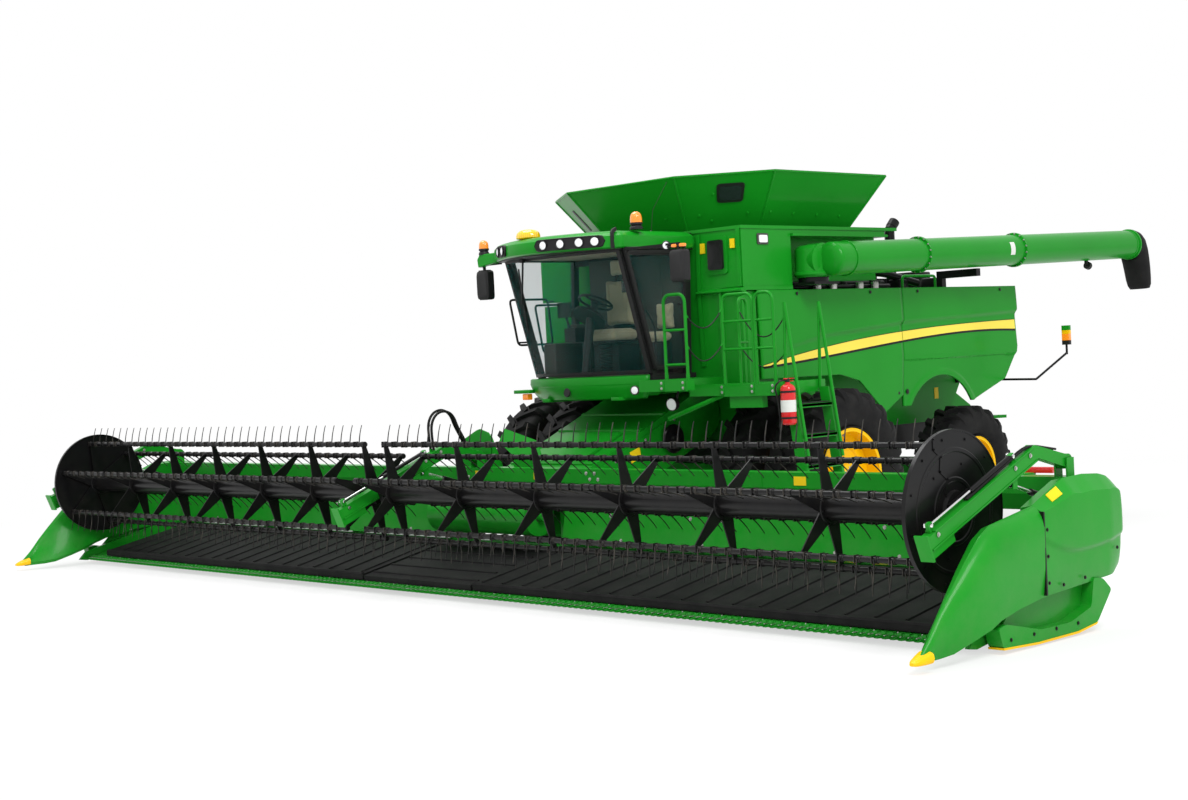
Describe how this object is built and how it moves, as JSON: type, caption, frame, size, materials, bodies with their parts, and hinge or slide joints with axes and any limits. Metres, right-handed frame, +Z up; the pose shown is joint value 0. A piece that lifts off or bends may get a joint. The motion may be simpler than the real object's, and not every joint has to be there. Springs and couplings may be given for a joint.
{
  "type": "combine harvester",
  "caption": "Self-propelled grain harvester with a wide draper header, cutterbar and reel, dual front tyres, cab, grain tank and folded unloading auger.",
  "frame": {"origin": "on the ground, in the middle of the machine's box in plan", "axes": "+X to the machine's left along the header, -Y forwards, +Z up"},
  "size_m": [14.1, 11.95, 4.25],
  "materials": {
    "green_paint": "gloss green paint",
    "yellow_paint": "gloss yellow paint",
    "tyre_rubber": "black tyre rubber, slightly dusty",
    "black_paint": "satin black paint",
    "black_plastic": "matte black plastic",
    "cab_glazing": "clear glass, slightly tinted",
    "belt_rubber": "cleated black draper belt",
    "spout_rubber": "black rubber",
    "bare_steel": "worn bright steel",
    "cylinder_chrome": "chromed rod",
    "seat_fabric": "woven grey-beige cloth"
  },
  "bodies": {
    "chassis": {"landing_chain_1": "black_plastic", "landing_chain_2": "black_plastic", "landing_chain_3": "black_plastic", "landing_chain_4": "black_plastic", "main_frame": "black_paint", "front_axle": "green_paint", "rear_axle": "black_paint", "separator_body": "green_paint", "rear_hood": "green_paint", "engine_block": "black_paint", "engine_deck": "black_paint", "grain_tank": "green_paint", "tank_extension": "green_paint", "straw_chopper": "black_paint", "auger_supports": "green_paint", "cab_frame": "black_plastic", "cab_glass": "cab_glazing", "cab_roof": "green_paint", "operator_seat": "seat_fabric", "cab_console": "black_plastic", "mirrors": "black_paint", "cab_base": "green_paint", "handrails": "green_paint", "ladder": "green_paint", "rear_lamps": "black_paint"},
    "front_wheels_left": {"front_tyres_left": "tyre_rubber", "front_rims_left": "yellow_paint"},
    "front_wheels_right": {"front_tyres_right": "tyre_rubber", "front_rims_right": "yellow_paint"},
    "steering_knuckle_left": {"knuckle_left": "black_paint"},
    "steering_knuckle_right": {"knuckle_right": "black_paint"},
    "steering_tie_rod": {"tie_rod": "black_paint"},
    "rear_wheel_left": {"rear_tyre_left": "tyre_rubber", "rear_rim_left": "yellow_paint"},
    "rear_wheel_right": {"rear_tyre_right": "tyre_rubber", "rear_rim_right": "yellow_paint"},
    "front_shield_left_panel": {"front_shield_left": "green_paint"},
    "rear_shield_left_panel": {"rear_shield_left": "green_paint"},
    "front_shield_right_panel": {"front_shield_right": "green_paint"},
    "rear_shield_right_panel": {"rear_shield_right": "green_paint"},
    "cab_door_leaf": {"cab_door": "black_plastic", "cab_door_glass": "cab_glazing"},
    "folding_auger": {"unloading_auger": "green_paint", "auger_spout": "spout_rubber"},
    "header": {"feeder_house": "green_paint", "header_frame": "green_paint", "draper_belts": "belt_rubber", "cutterbar": "bare_steel", "dividers": "green_paint"},
    "header_drum": {"feed_drum": "green_paint"},
    "lift_cylinder_barrels": {"lift_barrels": "black_paint"},
    "lift_cylinder_rods": {"lift_rods": "cylinder_chrome"},
    "reel_arm_set": {"reel_arms": "green_paint", "reel_hose_1": "spout_rubber", "reel_hose_2": "spout_rubber"},
    "reel_slides": {"reel_carriages": "black_paint"},
    "reel_cylinder_barrels": {"reel_barrels": "black_paint"},
    "reel_cylinder_rods": {"reel_rods": "cylinder_chrome"},
    "left_reel": {"reel_left": "black_paint"},
    "right_reel": {"reel_right": "black_paint"}
  },
  "joints": [
    {"name": "front_wheels_left_spin", "type": "hinge", "parent": "chassis", "child": "front_wheels_left", "pos_m": [1.5, -0.97, 0.93], "axis": [1, 0, 0], "continuous": true},
    {"name": "front_wheels_right_spin", "type": "hinge", "parent": "chassis", "child": "front_wheels_right", "pos_m": [-1.5, -0.97, 0.93], "axis": [1, 0, 0], "continuous": true},
    {"name": "steer_left", "type": "hinge", "parent": "chassis", "child": "steering_knuckle_left", "pos_m": [1.13, 2.38, 0.75], "axis": [0, 0, 1], "range_deg": [-35, 35]},
    {"name": "steer_right", "type": "hinge", "parent": "chassis", "child": "steering_knuckle_right", "pos_m": [-1.13, 2.38, 0.75], "axis": [0, 0, 1], "range_deg": [-35, 35]},
    {"name": "tie_rod_pivot", "type": "hinge", "parent": "steering_knuckle_left", "child": "steering_tie_rod", "pos_m": [1.13, 2.66, 0.75], "axis": [0, 0, 1], "range_deg": [-35, 35]},
    {"name": "rear_wheel_left_spin", "type": "hinge", "parent": "steering_knuckle_left", "child": "rear_wheel_left", "pos_m": [1.5, 2.38, 0.75], "axis": [1, 0, 0], "continuous": true},
    {"name": "rear_wheel_right_spin", "type": "hinge", "parent": "steering_knuckle_right", "child": "rear_wheel_right", "pos_m": [-1.5, 2.38, 0.75], "axis": [1, 0, 0], "continuous": true},
    {"name": "feeder_lift", "type": "hinge", "parent": "chassis", "child": "header", "pos_m": [0, -1.35, 1.62], "axis": [-1, 0, 0], "range_deg": [0, 15]},
    {"name": "lift_cylinder_swing", "type": "hinge", "parent": "chassis", "child": "lift_cylinder_barrels", "pos_m": [0, -1.17, 0.62], "axis": [-1, 0, 0], "range_deg": [-1, 14]},
    {"name": "lift_cylinder_stroke", "type": "slide", "parent": "lift_cylinder_barrels", "child": "lift_cylinder_rods", "axis": [0, -0.9997, 0.0258], "range_m": [-0.005, 0.26]},
    {"name": "reel_lift", "type": "hinge", "parent": "header", "child": "reel_arm_set", "pos_m": [0, -3.69, 1.32], "axis": [-1, 0, 0], "range_deg": [-5, 22]},
    {"name": "reel_cylinder_swing", "type": "hinge", "parent": "header", "child": "reel_cylinder_barrels", "pos_m": [0, -3.78, 1], "axis": [-1, 0, 0], "range_deg": [-7, 22]},
    {"name": "reel_cylinder_stroke", "type": "slide", "parent": "reel_cylinder_barrels", "child": "reel_cylinder_rods", "axis": [0, -0.9566, 0.2915], "range_m": [-0.034, 0.131]},
    {"name": "reel_fore_aft", "type": "slide", "parent": "reel_arm_set", "child": "reel_slides", "axis": [0, 0.9303, 0.3669], "range_m": [-0.25, 0.1]},
    {"name": "reel_left_spin", "type": "hinge", "parent": "reel_slides", "child": "left_reel", "pos_m": [0, -4.94, 1.04], "axis": [1, 0, 0], "continuous": true},
    {"name": "reel_right_spin", "type": "hinge", "parent": "reel_slides", "child": "right_reel", "pos_m": [0, -4.94, 1.04], "axis": [1, 0, 0], "continuous": true},
    {"name": "header_drum_spin", "type": "hinge", "parent": "header", "child": "header_drum", "pos_m": [0, -3.97, 0.73], "axis": [1, 0, 0], "continuous": true},
    {"name": "auger_swing", "type": "hinge", "parent": "chassis", "child": "folding_auger", "pos_m": [1.73, -0.58, 3.2], "axis": [0, 0, -1], "range_deg": [0, 95]},
    {"name": "cab_door_swing", "type": "hinge", "parent": "chassis", "child": "cab_door_leaf", "pos_m": [0.973, -2.36, 2.16], "axis": [0, 0.2797, -0.9601], "range_deg": [0, 70]},
    {"name": "front_shield_left_lift", "type": "hinge", "parent": "chassis", "child": "front_shield_left_panel", "pos_m": [1.635, -0.14, 2.97], "axis": [0, -1, 0], "range_deg": [0, 55]},
    {"name": "rear_shield_left_lift", "type": "hinge", "parent": "chassis", "child": "rear_shield_left_panel", "pos_m": [1.635, 2.31, 2.97], "axis": [0, -1, 0], "range_deg": [0, 55]},
    {"name": "front_shield_right_lift", "type": "hinge", "parent": "chassis", "child": "front_shield_right_panel", "pos_m": [-1.635, -0.14, 2.97], "axis": [0, 1, 0], "range_deg": [0, 55]},
    {"name": "rear_shield_right_lift", "type": "hinge", "parent": "chassis", "child": "rear_shield_right_panel", "pos_m": [-1.635, 2.31, 2.97], "axis": [0, 1, 0], "range_deg": [0, 55]}
  ],
  "couplings": [
    {"joint": "steer_right", "follows": "steer_left", "ratio": 1},
    {"joint": "tie_rod_pivot", "follows": "steer_left", "ratio": -1},
    {"joint": "lift_cylinder_swing", "follows": "feeder_lift", "ratio": 0.8267},
    {"joint": "lift_cylinder_stroke", "follows": "feeder_lift", "m_per_rad": 0.9732},
    {"joint": "reel_cylinder_swing", "follows": "reel_lift", "ratio": 0.9294},
    {"joint": "reel_cylinder_stroke", "follows": "reel_lift", "m_per_rad": 0.327},
    {"joint": "reel_right_spin", "follows": "reel_left_spin", "ratio": 1}
  ]
}
